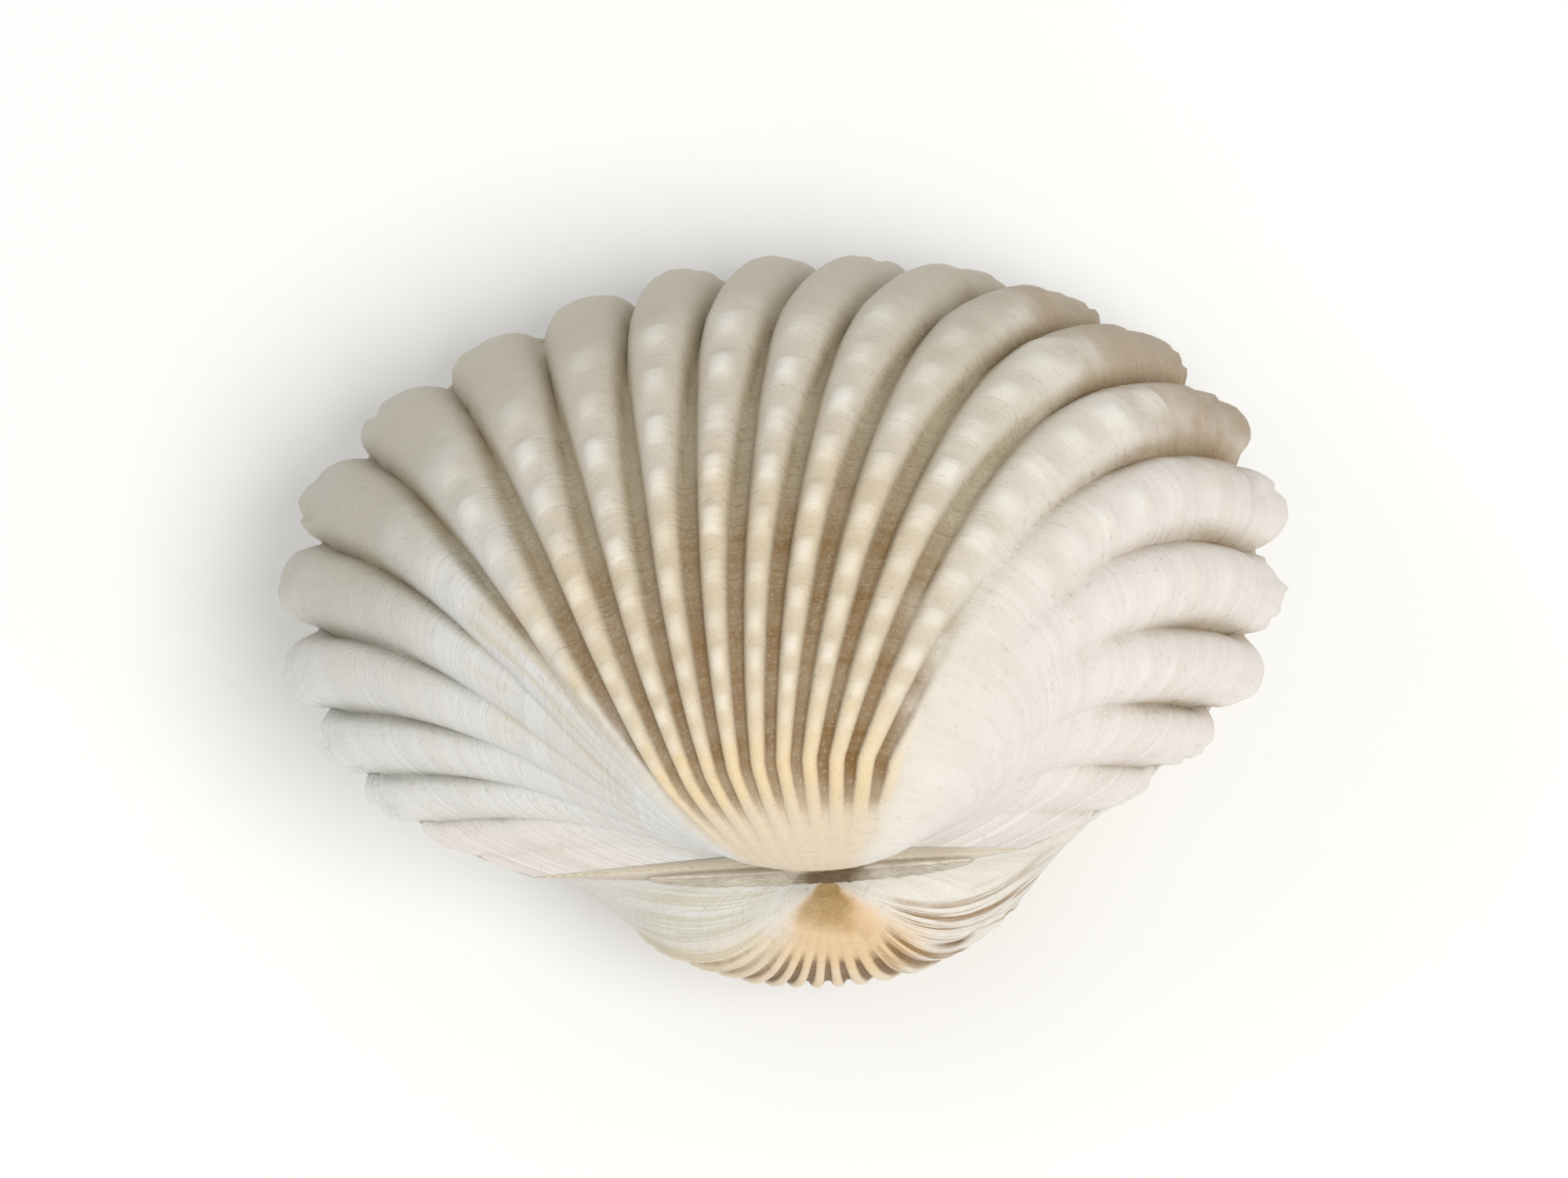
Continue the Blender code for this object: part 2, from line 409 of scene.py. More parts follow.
def ribs_begun(size, step, stage):
    """0 where the young shell is worn smooth, at the beak and far down both flanks, and 1 beyond."""
    front_end = (1.0 - smooth_step(*FRONT_END, step)) * WORN_FRONT_END
    flank = WORN_FLANK + front_end + smooth_step(*BACK_END, step) * WORN_BACK_END
    in_middle = middle_share(step, size["Worn Front"])
    first = blend(flank, size["Worn Beak"], in_middle)
    gradual = blend(FLANK_RIBS_COME_IN, MIDDLE_RIBS_COME_IN, in_middle)
    return smooth_step(first - gradual * 0.7, first + gradual * 1.3, stage)


def end_fade(step):
    return smooth_step(0.0, RIB_FADE, step.node("MINIMUM", 1.0 - step))


def bead_rows(rib_place, stage):
    """Beads along the rib at even steps of growth, shifted from rib to rib and of uneven height."""
    rib = rib_place.node("FLOOR")
    beads = (stage / LAST_BEAD).node("LOGARITHM", BEAD_STEP) + rib_chance(rib, BEAD_SHIFT_SEED) * BEAD_SHIFT
    wave = (beads * math.tau).node("COSINE") * 0.5 + 0.5
    fullness = rib_chance(beads.node("ROUND") + rib * BEADS_PER_RIB, BEAD_HEIGHT_SEED)
    return smooth_step(*BEAD_EDGE, wave) * blend(LOWEST_BEAD, 1.0, fullness)


def bead_zone(size, rib_place, step, stage):
    """Where crests carry beads: strongly on the front half of the valve and faintly on the back."""
    across = from_crest(rib_place) / rib_half_width(step, stage)
    narrowed = smooth_step(*BEADS_GET_ROUND, stage) * BEAD_NARROWING
    on_crest = 1.0 - smooth_step(*(edge - narrowed for edge in YOUNG_BEAD_EDGE), across)
    back = 1.0 - BACK_BEAD_LOSS * smooth_step(*BACK_BEADS, step)
    front = blend(FRONT_BEAD_SHARE, 1.0, smooth_step(*FRONT_BEADS, step))
    last = blend(*BEADS_END, smooth_step(*BEADS_END_CHANGE, step))
    grown = smooth_step(*BEADS_BEGIN, stage) * (1.0 - smooth_step(last - BEADS_END_FADE, last, stage))
    return on_crest * back * front * grown * ribs_begun(size, step, stage)


# Growth surface


def margin_share(step):
    """Share of the way round the free margin for a share of the ribs, both from the front end."""
    first = (step * math.tau).node("SINE") / math.tau
    second = (step * 2 * math.tau).node("SINE") / (2 * math.tau)
    return step - RIB_CROWDING * (first + second * 0.25)


def rib_step(share, stage):
    """Step at which a rib lies at a growth stage, for its share of the ribs from the front end."""
    drift = stage.node("MAXIMUM", RIB_DRIFT_START).node("LOGARITHM", math.e) * RIB_DRIFT
    step = share
    for _ in range(PLACE_ROUNDS):
        sideways = (step * (math.pi / RIB_DRIFT_END)).node("SINE") * (1.0 - step ** RIB_DRIFT_FADE)
        step = limit(share - drift * sideways, 0.0, 1.0)
    return step


def mouth_outline(size, step, hinge_place, along_hinge):
    """Point and outward direction on the mouth's edge: the free margin, then back along the hinge."""
    tree = step.tree
    half_length = size["Shell Length"] * 0.5
    widest = size["Valve Height"] * WIDEST_LINE
    hinge_side = size["Valve Height"] * HINGE_SIDE_HEIGHT
    hinge_share = (1.0 - (WIDEST_LINE / HINGE_SIDE_HEIGHT) ** OVAL_POWER) ** (1.0 / OVAL_POWER)
    hinge_half = half_length * hinge_share
    start = -(widest / hinge_half).node("ARCTANGENT")
    angle = start + (math.pi - start * 2.0) * margin_share(step)
    cosine = angle.node("COSINE")
    sine = angle.node("SINE")
    half_height = blend(hinge_side, size["Valve Height"] - widest, sine.above(0.0))
    along = abs(cosine / half_length) ** OVAL_POWER
    up = abs(sine / half_height) ** OVAL_POWER
    corner = ((step - BACK_CORNER_STEP) / BACK_CORNER_WIDTH) ** 2
    radius = (along + up) ** (-1.0 / OVAL_POWER) * (1.0 + BACK_CORNER * (-corner).node("EXPONENT"))
    x = radius * cosine
    y = radius * sine
    slope = OVAL_POWER - 1.0
    out_x = x.node("SIGN") * abs(x / half_length) ** slope / half_length
    out_y = y.node("SIGN") * abs(y / half_height) ** slope / half_height - OUTLINE_LEAN * out_x
    end_distance = step.node("MINIMUM", 1.0 - step)
    drawn_in = 1.0 + (size["Margin Scale"] - 1.0) * smooth_step(0.0, HINGE_END_BLEND, end_distance)
    margin_x = (x + OUTLINE_LEAN * y) * drawn_in
    margin_y = (y * drawn_in + widest).node("MAXIMUM", 0.0)
    hinge_x = hinge_half * (hinge_place * 2.0 - 1.0) - OUTLINE_LEAN * widest
    along_margin = 1.0 - along_hinge
    point = vector_of(tree, blend(margin_x, hinge_x, along_hinge), margin_y * along_margin, 0.0)
    outward = vector_of(tree, out_x * along_margin, blend(out_y, -1.0, along_hinge), 0.0).unit()
    return point, outward


def growth_surface(size, point, outward, stage):
    """Smooth outside of the valve at a growth stage, and the direction its ribs stand out in."""
    tree = stage.tree
    x, y, _ = point.parts()
    out_x, out_y, _ = outward.parts()
    turn = TURN_RATE * ((1.0 + TURN_START) / (stage + TURN_START)).node("LOGARITHM", math.e)
    cosine = turn.node("COSINE")
    sine = turn.node("SINE")
    across = vector_of(tree, 0.0, cosine, sine)
    outwards = vector_of(tree, 0.0, -sine, cosine)
    beak = vector_of(tree, *(size["Valve Height"] * share for share in BEAK))
    length = stage ** LENGTH_POWER
    place = beak * (1.0 - stage) + vector_of(tree, length * x, 0.0, 0.0) + across * (stage * y)
    in_plane = (vector_of(tree, out_x * stage / length, 0.0, 0.0) + across * out_y).unit()
    steepness = stage * TURN_RATE / (stage + TURN_START) * y
    lengthening = vector_of(tree, LENGTH_POWER * length / stage * x, 0.0, 0.0) + across * y
    normal = (in_plane * steepness + outwards * lengthening.dot(in_plane)).unit()
    at_margin = smooth_step(1.0 - MARGIN_BAND, 1.0, stage)
    return place, blend(normal, in_plane, at_margin), at_margin


def relief(size, rib_place, step, stage, grain):
    """Height of ribs, beads, ledges, wear and chips over the smooth growth surface."""
    chance = rib_chance(rib_place.node("FLOOR"), RIB_SEED)
    begun = blend(WORN_RIB_SHARE, 1.0, ribs_begun(size, step, stage))
    rib = rib_profile(rib_place, step, stage) * (1.0 - chance * RIB_UNEVENNESS)
    near_margin = smooth_step(*NEAR_MARGIN, stage)
    groove = size["Groove Depth"] * (smooth_step(0.0, 0.5, stage) + near_margin * MARGIN_GROOVE_SHARE)
    low_margin = 1.0 - (1.0 - size["Margin Ribs"]) * near_margin
    low_back = LOW_BACK_SHARE * smooth_step(*LOW_BACK_RIBS, step)
    low_front = LOW_FRONT_SHARE * (1.0 - smooth_step(*LOW_FRONT_RIBS, step))
    low_flank = 1.0 - low_back - low_front
    height = (rib * (size["Rib Height"] * low_margin + groove) - groove) * begun * low_flank
    beads = bead_rows(rib_place, stage) * (size["Bead Height"] + size["Bead Dip"]) - size["Bead Dip"]
    height = height + beads * bead_zone(size, rib_place, step, stage)
    for pause, depth, first, last in GROWTH_PAUSES:
        where = hump(first, first + LEDGE_END, last - LEDGE_END, last, step)
        ledge = hump(pause - LEDGE_DROP, pause, pause, pause + LEDGE_RUN, stage)
        height = height - ledge * where * depth
    worn = (grain - 1.0) * size["Wear Depth"]
    round_margin = vector_of(step.tree, step * CHIPS_ROUND_MARGIN, stage * CHIPS_ALONG_GROWTH, CHIP_SEED)
    broken = smooth_step(*CHIP_EDGE, noise_field(step.tree, round_margin, 1.0, detail=3.0))
    chips = broken * smooth_step(*CHIPPED_STAGES, stage)
    return (height + worn - chips * size["Chip Depth"]) * stage * end_fade(step)


def row_stages(row):
    """Growth stage, share of the way from the outside to the inside, and pole masks for each mesh row."""
    outer = limit((row - 1.0) / (OUTER_ROWS - 1.0), 0.0, 1.0)
    from_margin = 1.0 - outer
    spread = ROW_SPREAD * from_margin + (1.0 - ROW_SPREAD) * from_margin ** 3
    growing = (spread * math.log(FIRST_STAGE)).node("EXPONENT")
    inward = limit((row - OUTER_ROWS) / RIM_ROWS, 0.0, 1.0)
    back = limit((row - OUTER_ROWS - RIM_ROWS) / INNER_ROWS, 0.0, 1.0)
    stage = growing * (1.0 - back * INNER_REACH)
    at_beak = row.below(0.5)
    at_hollow = row.above(OUTER_ROWS + RIM_ROWS + INNER_ROWS - 0.5)
    return stage, inward, at_beak, at_hollow


def named_sizes(tree, sizes):
    """Gives the tree its named inputs, with their usual values."""
    for name, value in sizes.items():
        socket = tree.interface.new_socket(name=name, in_out="INPUT", socket_type="NodeSocketFloat")
        socket.default_value = value
    tree.interface.new_socket(name="Finish", in_out="INPUT", socket_type="NodeSocketMaterial")
    tree.interface.new_socket(name="Geometry", in_out="OUTPUT", socket_type="NodeSocketGeometry")
    entry = tree.nodes.new("NodeGroupInput")
    return entry, {name: Field(tree, entry.outputs[name]) for name in sizes}


def store(tree, geometry, name, value):
    made = tree.nodes.new("GeometryNodeStoreNamedAttribute")
    made.data_type = "FLOAT"
    made.domain = "POINT"
    made.inputs["Name"].default_value = name
    feed(tree, value, made.inputs["Value"])
    tree.links.new(geometry, made.inputs["Geometry"])
    return made.outputs["Geometry"]


def lay_down(tree, geometry):
    """Tilts a piece from the pair's own frame to its resting place."""
    laid = tree.nodes.new("GeometryNodeTransform")
    tree.links.new(geometry, laid.inputs["Geometry"])
    laid.inputs["Translation"].default_value = HINGE_MIDDLE
    laid.inputs["Rotation"].default_value = Euler((-REST_TILT, -REST_ROLL, 0.0))
    return laid.outputs[0]


def finish_tree(tree, entry, geometry):
    """Shades the piece smooth and gives it the material of the tree's Finish input."""
    smoothed = tree.nodes.new("GeometryNodeSetShadeSmooth")
    tree.links.new(geometry, smoothed.inputs["Geometry"])
    made_real = tree.nodes.new("GeometryNodeRealizeInstances")
    tree.links.new(smoothed.outputs[0], made_real.inputs["Geometry"])
    finished = tree.nodes.new("GeometryNodeSetMaterial")
    tree.links.new(made_real.outputs[0], finished.inputs["Geometry"])
    tree.links.new(entry.outputs["Finish"], finished.inputs["Material"])
    way_out = tree.nodes.new("NodeGroupOutput")
    tree.links.new(finished.outputs[0], way_out.inputs["Geometry"])


def valve_tree():
    """Geometry nodes that grow one valve as a closed wall, laid in its resting place."""
    tree = bpy.data.node_groups.new("ark_valve", "GeometryNodeTree")
    entry, size = named_sizes(tree, VALVE_SIZES)
    links = tree.links
    margin_columns = RIB_COUNT * COLUMNS_PER_RIB
    columns = margin_columns + HINGE_COLUMNS
    rows = OUTER_ROWS + RIM_ROWS + INNER_ROWS

    sheet = tree.nodes.new("GeometryNodeMeshGrid")
    sheet.inputs["Size X"].default_value = columns
    sheet.inputs["Size Y"].default_value = rows
    sheet.inputs["Vertices X"].default_value = columns + 1
    sheet.inputs["Vertices Y"].default_value = rows + 1
    position = tree.nodes.new("GeometryNodeInputPosition")
    sheet_x, sheet_y, _ = VectorField(tree, position.outputs[0]).parts()
    column = (sheet_x + columns / 2).node("ROUND")
    row = (sheet_y + rows / 2).node("ROUND")

    rib_share = (column / margin_columns).node("MINIMUM", 1.0)
    hinge_place = limit((column - margin_columns) / HINGE_COLUMNS, 0.0, 1.0)
    along_hinge = column.above(margin_columns + 0.5)
    on_hinge = along_hinge * column.below(columns - 0.5)
    stage, inward, at_beak, at_hollow = row_stages(row)
    margin_step = rib_step(rib_share, stage)
    step = margin_step - hinge_place

    flat_place = vector_of(tree, rib_share * 9.0, stage * 3.0, 0.0)
    wander = (noise_field(tree, flat_place, 1.0) - 0.5) * 2.0 * RIB_WANDER * end_fade(margin_step)
    rib_place = rib_share * RIB_COUNT + size["Rib Offset"] + wander

    point, outward = mouth_outline(size, margin_step, hinge_place, along_hinge)
    smooth, direction, at_margin = growth_surface(size, point, outward, stage)
    grain = noise_field(tree, smooth, WEAR_SCALE)
    margin_fade = 1.0 - along_hinge
    height = relief(size, rib_place, margin_step, stage, grain) * margin_fade
    outside = smooth + direction * height

    inset = blend(WALL_SCALE, HINGE_PLATE_SCALE, hump(*HINGE_PLATE_SPAN, hinge_place) * stage)
    middle = vector_of(tree, 0.0, size["Valve Height"] * WIDEST_LINE, 0.0)
    inner_rib = rib_profile(rib_place, margin_step, stage) * INNER_RIB_SHARE * margin_fade
    inner_rib = inner_rib * smooth_step(*INNER_RIBS, stage) * end_fade(margin_step)
    inside = middle + (smooth - middle) * inset + direction * (inner_rib * size["Rib Height"])

    _, mouth_y, _ = point.parts()
    wave = -(rib_place * math.tau).node("COSINE") * mouth_y / size["Valve Height"] * at_margin
    lowered = vector_of(tree, 0.0, 0.0, wave * MARGIN_WAVE * (1.0 - inward * 0.5))
    wall = blend(outside, inside, inward) - lowered
    beak = vector_of(tree, *(size["Valve Height"] * share for share in BEAK))
    hollow = vector_of(tree, *(size["Valve Height"] * share for share in BEAK_HOLLOW))
    wall = blend(blend(wall, beak, at_beak), hollow, at_hollow)
    x, y, z = wall.parts()
    wall = vector_of(tree, x, y, (z + size["Seam Gap"] * 0.5) * size["Side"])

    placed = tree.nodes.new("GeometryNodeSetPosition")
    geometry = sheet.outputs["Mesh"]
    begun = ribs_begun(size, margin_step, stage) * end_fade(margin_step) * margin_fade
    profile = rib_profile(rib_place, margin_step, stage)
    bead = bead_rows(rib_place, stage) * bead_zone(size, rib_place, margin_step, stage)
    for name, value in (
        ("step", step),
        ("stage", stage),
        ("inward", inward),
        ("on_hinge", on_hinge),
        ("crest", profile * begun),
        ("groove", (1.0 - profile) * begun),
        ("bead", bead * margin_fade),
    ):
        geometry = store(tree, geometry, name, value)
    links.new(geometry, placed.inputs["Geometry"])
    links.new(wall.socket, placed.inputs["Position"])

    resting = tree.nodes.new("GeometryNodeSetPosition")
    at = tree.nodes.new("GeometryNodeInputPosition")
    at_x, at_y, at_z = VectorField(tree, at.outputs[0]).parts()
    links.new(lay_down(tree, placed.outputs[0]), resting.inputs["Geometry"])
    above_ground = vector_of(tree, at_x, at_y, at_z.node("MAXIMUM", 0.0))
    links.new(above_ground.socket, resting.inputs["Position"])

    closed = tree.nodes.new("GeometryNodeMergeByDistance")
    closed.inputs["Distance"].default_value = VALVE_MERGE
    links.new(resting.outputs[0], closed.inputs["Geometry"])
    turned = tree.nodes.new("GeometryNodeFlipFaces")
    links.new(closed.outputs[0], turned.inputs["Mesh"])
    links.new(size["Side"].above(0.0).socket, turned.inputs["Selection"])
    finish_tree(tree, entry, turned.outputs[0])
    return tree


def ligament_tree():
    """Geometry nodes that lay the dried strip in the groove between the beaks."""
    tree = bpy.data.node_groups.new("hinge_ligament", "GeometryNodeTree")
    entry, size = named_sizes(tree, LIGAMENT_SIZES)
    links = tree.links
    tube = tree.nodes.new("GeometryNodeMeshGrid")
    tube.inputs["Size X"].default_value = 2.0
    tube.inputs["Size Y"].default_value = 1.0
    tube.inputs["Vertices X"].default_value = LIGAMENT_STATIONS + 1
    tube.inputs["Vertices Y"].default_value = LIGAMENT_ROUND + 1
    position = tree.nodes.new("GeometryNodeInputPosition")
    along, turn, _ = VectorField(tree, position.outputs[0]).parts()
    angle = turn * math.tau
    side = angle.node("COSINE")
    face = angle.node("SINE")

    ragged = noise_field(tree, vector_of(tree, along * 14.0, side.node("SIGN") * 3.0, 0.0), 1.0, detail=3.0)
    narrowing = (1.0 - abs(along) ** LIGAMENT_TAPER).node("MAXIMUM", 0.0) ** 0.5
    taper = narrowing * (LIGAMENT_NARROWEST + ragged * LIGAMENT_RAGGEDNESS)
    across = side.node("SIGN") * abs(side) ** LIGAMENT_FLATNESS * taper
    wrinkle = noise_field(tree, vector_of(tree, along * 20.0, across * 4.0, 3.0), 1.0, detail=3.0)
    crease = noise_field(tree, vector_of(tree, along * 5.0, across * 12.0, 8.0), 1.0, detail=2.0)
    thick = face * size["Thickness"] * 0.5 * (LIGAMENT_EDGE + taper * (1.0 - LIGAMENT_EDGE))
    furrows = (wrinkle + crease - 1.0) * size["Thickness"] * LIGAMENT_CREASES
    surface = thick - furrows * face.above(0.2)
    z = across * size["Width"] * 0.5
    lean = abs(z) * LIGAMENT_SLOPE
    y = -lean - size["Depth"] - surface
    x = along * size["Length"] * 0.5 + size["Shift"]

    geometry = tube.outputs["Mesh"]
    for name, value in (("along", along), ("across", across)):
        geometry = store(tree, geometry, name, value)
    placed = tree.nodes.new("GeometryNodeSetPosition")
    links.new(geometry, placed.inputs["Geometry"])
    links.new(vector_of(tree, x, y, z).socket, placed.inputs["Position"])
    closed = tree.nodes.new("GeometryNodeMergeByDistance")
    closed.inputs["Distance"].default_value = LIGAMENT_MERGE
    links.new(placed.outputs[0], closed.inputs["Geometry"])
    turned = tree.nodes.new("GeometryNodeFlipFaces")
    links.new(closed.outputs[0], turned.inputs["Mesh"])
    finish_tree(tree, entry, lay_down(tree, turned.outputs[0]))
    return tree


def grow_piece(name, tree, values):
    """Runs a tree with its named inputs set, and keeps the result as a plain mesh object."""
    seed = bpy.data.objects.new(name + "_seed", bpy.data.meshes.new(name + "_seed"))
    bpy.context.scene.collection.objects.link(seed)
    grower = seed.modifiers.new("growth", "NODES")
    grower.node_group = tree
    for item in tree.interface.items_tree:
        if item.in_out == "INPUT" and item.name in values:
            grower[item.identifier] = values[item.name]
    bpy.context.view_layer.update()
    depsgraph = bpy.context.evaluated_depsgraph_get()
    grown = bpy.data.meshes.new_from_object(
        seed.evaluated_get(depsgraph), preserve_all_data_layers=True, depsgraph=depsgraph
    )
    grown.name = name
    seed.modifiers.clear()
    bpy.data.objects.remove(seed)
    grown.set_sharp_from_angle(angle=SHARP_EDGE)
    piece = bpy.data.objects.new(name, grown)
    bpy.context.scene.collection.objects.link(piece)
    return piece


# Colours and finishes


def tone(red, green, blue):
    """Linear colour for the 0 to 255 values that a display shows."""
    linear = [((value / 255 + 0.055) / 1.055) ** 2.4 for value in (red, green, blue)]
    return (*linear, 1.0)


def attribute(tree, name):
    made = tree.nodes.new("ShaderNodeAttribute")
    made.attribute_name = name
    return Field(tree, made.outputs["Fac"])


def object_place(tree):
    made = tree.nodes.new("ShaderNodeTexCoord")
    return VectorField(tree, made.outputs["Object"])


def tint(tree, under, over, share):
    """Lays one colour over another."""
    made = tree.nodes.new("ShaderNodeMix")
    made.data_type = "RGBA"
    feed(tree, share, made.inputs["Factor"])
    feed(tree, under, made.inputs[6])
    feed(tree, over, made.inputs[7])
    return Field(tree, made.outputs[2])


def shared_effect(name, inputs, outputs, recipe):
    """A node group with named inputs and outputs, built once and placed in several finishes."""
    group = bpy.data.node_groups.new(name, "ShaderNodeTree")
    for title, kind in inputs:
        group.interface.new_socket(name=title, in_out="INPUT", socket_type=kind)
    for title in outputs:
        group.interface.new_socket(name=title, in_out="OUTPUT", socket_type="NodeSocketFloat")
    entry = group.nodes.new("NodeGroupInput")
    fields = [VectorField(group, entry.outputs[title]) if kind == "NodeSocketVector"
              else Field(group, entry.outputs[title]) for title, kind in inputs]
    way_out = group.nodes.new("NodeGroupOutput")
    for title, value in zip(outputs, recipe(group, *fields)):
        feed(group, value, way_out.inputs[title])
    return group


def place_effect(tree, group, **values):
    made = tree.nodes.new("ShaderNodeGroup")
    made.node_tree = group
    for title, value in values.items():
        feed(tree, value, made.inputs[title.replace("_", " ")])
    return {output.name: Field(tree, output) for output in made.outputs}


def chalk_recipe(tree, place, coarseness):
    """Dry chalky surface: fine grain, soft cloudiness and scattered pits."""
    grain = noise_field(tree, place * coarseness, 9000.0, detail=4.0, roughness=0.65)
    cloud = noise_field(tree, place * coarseness, 420.0, detail=3.0, roughness=0.6)
    pit_size = noise_field(tree, place * coarseness, 2600.0, detail=1.0)
    pits = smooth_step(0.66, 0.76, pit_size)
    return grain, cloud, pits


def growth_recipe(tree, step, stage, crowding, waver):
    """Fine lines along the margins of growth, and broader bands where growth paused."""
    along = vector_of(tree, step * 26.0, stage * 4.0, 0.0)
    bent = stage + (noise_field(tree, along, 1.0, detail=2.0) - 0.5) * waver
    line_place = vector_of(tree, bent * crowding, step * 2.5, 0.5)
    band_place = vector_of(tree, bent * crowding * 0.14, step * 1.5, 4.5)
    lines = noise_field(tree, line_place, 1.0, detail=2.0, roughness=0.6)
    bands = noise_field(tree, band_place, 1.0, detail=1.0)
    return smooth_step(0.44, 0.62, lines), smooth_step(0.40, 0.66, bands)


def dirt_recipe(tree, place, groove, amount):
    """Old dirt that stays in the hollows, in patches."""
    patches = noise_field(tree, place, 700.0, detail=3.0, roughness=0.6)
    specks = noise_field(tree, place, 3800.0, detail=2.0)
    packed = smooth_step(0.30, 0.95, groove) * smooth_step(0.34, 0.58, patches)
    speck = smooth_step(0.62, 0.70, specks) * (groove * 0.8 + 0.2)
    return packed * amount, speck * amount


def make_effects():
    number, vector = "NodeSocketFloat", "NodeSocketVector"
    return {
        "chalk": shared_effect(
            "chalky_surface", (("Place", vector), ("Coarseness", number)),
            ("Grain", "Cloud", "Pits"), chalk_recipe),
        "growth": shared_effect(
            "growth_lines", (("Step", number), ("Stage", number), ("Crowding", number), ("Waver", number)),
            ("Lines", "Bands"), growth_recipe),
        "dirt": shared_effect(
            "hollow_dirt", (("Place", vector), ("Groove", number), ("Amount", number)),
            ("Packed", "Specks"), dirt_recipe),
    }


# Marks of fine teeth along the hinge
HINGE_TEETH = 46.0

SHELL_WHITE = tone(230, 224, 214)
SHELL_CLOUD = tone(220, 211, 197)
# Pale bead tops: worn shell with a painted highlight
BEAD_WEAR_AND_HIGHLIGHT = tone(243, 239, 229)
# Painted shade in the gaps between the beads
BEAD_GAP_SHADE = tone(196, 183, 160)
DIRT = tone(168, 150, 120)
SPECK = tone(142, 122, 92)
GROWTH_SHADE = tone(196, 184, 164)
CHALK_DARK = tone(190, 178, 160)
CHALK_LIGHT = tone(246, 243, 236)
INNER_WHITE = tone(240, 236, 228)
HINGE_PALE = tone(242, 231, 212)
HINGE_TAN = tone(226, 210, 184)
HINGE_BROWN = tone(150, 122, 86)
LIGAMENT_BROWN = tone(134, 104, 62)
LIGAMENT_DARK = tone(88, 66, 40)
LIGAMENT_DUST = tone(243, 232, 214)

LEFT_STAINS_AND_SHADE = (
    # Back flank: cool grey-white, partly the shell's own tone and partly painted shade on the side away
    # from the key light
    StainAndShade(tone(220, 221, 218), 0.90, (0.58, 0.76, 1.3, 1.4), WHOLE, "all"),
    StainAndShade(tone(232, 219, 210), 0.60, (0.88, 0.93, 1.3, 1.4), (0.40, 0.60, 1.3, 1.4), "all"),
    StainAndShade(tone(228, 221, 215), 0.80, (-0.4, -0.3, 0.26, 0.38), WHOLE, "all"),
    StainAndShade(tone(208, 190, 160), 0.50, (0.68, 0.72, 0.78, 0.82), (0.28, 0.36, 0.52, 0.60), "streaks"),
    # Back flank grooves: cool grey painted shade, with a slight tint
    StainAndShade(tone(172, 175, 169), 0.85, (0.64, 0.74, 1.3, 1.4), (0.44, 0.60, 1.3, 1.4), "grooves"),
    # Front margin grooves: grey-brown, partly stain and partly painted shade
    StainAndShade(tone(178, 162, 138), 0.70, (0.02, 0.12, 0.32, 0.42), (0.64, 0.84, 1.3, 1.4), "grooves"),
    StainAndShade(tone(222, 202, 172), 0.85, (0.36, 0.44, 0.68, 0.74), (-0.4, -0.3, 0.22, 0.32), "all"),
    StainAndShade(tone(232, 206, 158), 0.75, (0.36, 0.44, 0.68, 0.74), (0.18, 0.24, 0.46, 0.60), "crests"),
    StainAndShade(tone(166, 153, 122), 0.90, (0.28, 0.38, 0.70, 0.78), (0.34, 0.44, 0.76, 0.94), "grooves"),
    StainAndShade(tone(130, 95, 42), 1.00, (0.37, 0.42, 0.70, 0.74), (0.13, 0.28, 0.40, 0.60), "grooves"),
    # Top lobes of the margin: grey-beige, partly stain and partly painted shade where they slope away from
    # the light
    StainAndShade(tone(166, 155, 130), 0.62, (0.34, 0.42, 0.74, 0.84), (0.60, 0.84, 1.3, 1.4), "all"),
    StainAndShade(tone(150, 124, 86), 0.90, (0.22, 0.28, 0.38, 0.44), (0.66, 0.84, 1.3, 1.4), "grooves"),
    StainAndShade(tone(150, 124, 86), 0.80, (0.24, 0.29, 0.37, 0.43), (0.76, 0.88, 1.3, 1.4), "all"),
)

RIGHT_STAINS_AND_SHADE = (
    # Back flank: cool grey-white, partly the shell's own tone and partly painted shade on the side away
    # from the key light
    StainAndShade(tone(222, 221, 216), 0.80, (0.66, 0.82, 1.3, 1.4), WHOLE, "all"),
    StainAndShade(tone(226, 190, 142), 0.90, (0.20, 0.34, 0.58, 0.74), (-0.4, -0.3, 0.13, 0.21), "all"),
    StainAndShade(tone(234, 210, 174), 0.60, (0.30, 0.40, 0.70, 0.80), (0.10, 0.16, 0.26, 0.40), "all"),
    StainAndShade(tone(170, 156, 126), 0.80, (0.20, 0.34, 0.72, 0.84), (0.36, 0.50, 0.84, 0.96), "grooves"),
    StainAndShade(tone(124, 92, 52), 1.00, (0.16, 0.22, 0.58, 0.70), (0.09, 0.13, 0.40, 0.56), "grooves"),
    StainAndShade(tone(142, 108, 60), 0.95, (0.12, 0.20, 0.33, 0.41), (0.06, 0.13, 0.38, 0.52), "streaks"),
    StainAndShade(tone(186, 174, 134), 0.45, (0.62, 0.70, 0.90, 0.97), (0.08, 0.14, 0.30, 0.44), "streaks"),
    StainAndShade(tone(164, 128, 66), 0.85, (0.28, 0.36, 0.62, 0.70), (-0.4, -0.3, 0.00, 0.07), "all"),
    StainAndShade(tone(188, 176, 152), 0.55, (0.24, 0.38, 0.74, 0.84), (0.66, 0.86, 1.3, 1.4), "all"),
)


def overlay_share(overlay, step, stage, places):
    """Where a row of the stain and shade tables lies, from its steps and stages and whether it keeps to
    grooves, crests or streaks.
    """
    share = hump(*overlay.steps, step) * hump(*overlay.stages, stage) * overlay.share
    if overlay.place in places:
        share = share * places[overlay.place]
    return limit(share, 0.0, 1.0)


